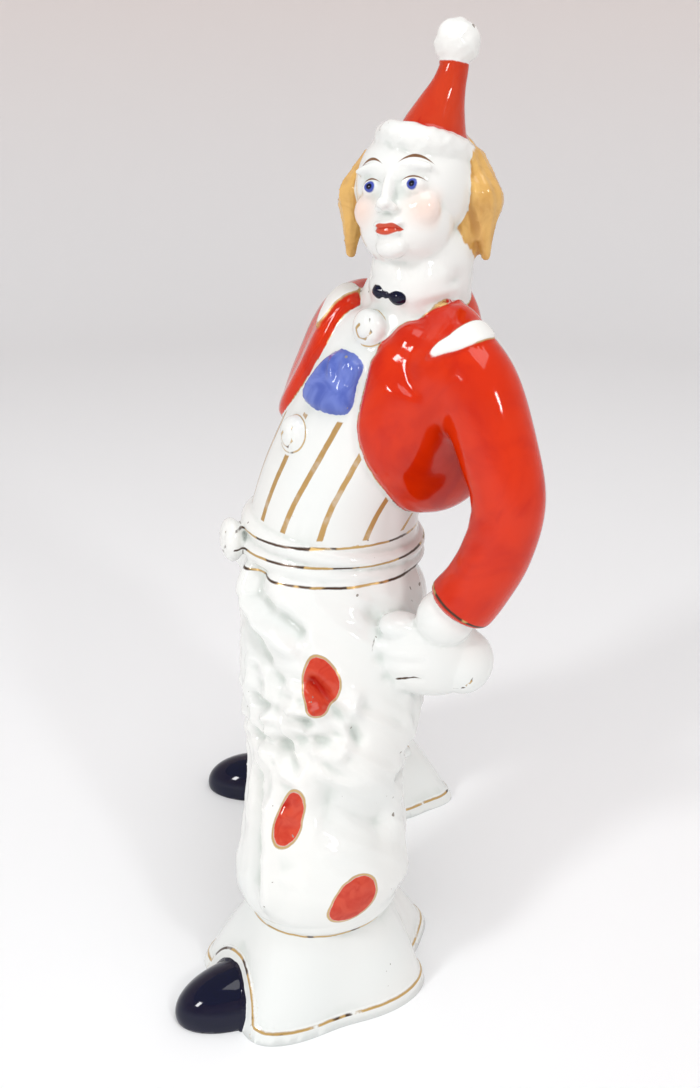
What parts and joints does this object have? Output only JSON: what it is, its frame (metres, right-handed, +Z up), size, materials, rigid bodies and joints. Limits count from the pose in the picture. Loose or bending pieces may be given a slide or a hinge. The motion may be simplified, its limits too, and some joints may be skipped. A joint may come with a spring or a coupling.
{
  "type": "porcelain clown figurine",
  "caption": "Glazed porcelain clown standing astride, hand on hip, in baggy trousers with flared hems, short jacket, wide belt and pompom cone hat.",
  "frame": {"origin": "on the ground, under the middle of the figure's bounding box", "axes": "+Z up, the hips face -Y, the figure's left is +X; the chest and the head turn to the left"},
  "size_m": [0.1076, 0.0781, 0.2008],
  "materials": {
    "glazed_porcelain": "clear gloss glaze over white porcelain, hand painted in red, black, blue and ochre with thin worn gold lines"
  },
  "bodies": {
    "root": {"clown_figurine": "glazed_porcelain"}
  },
  "joints": []
}
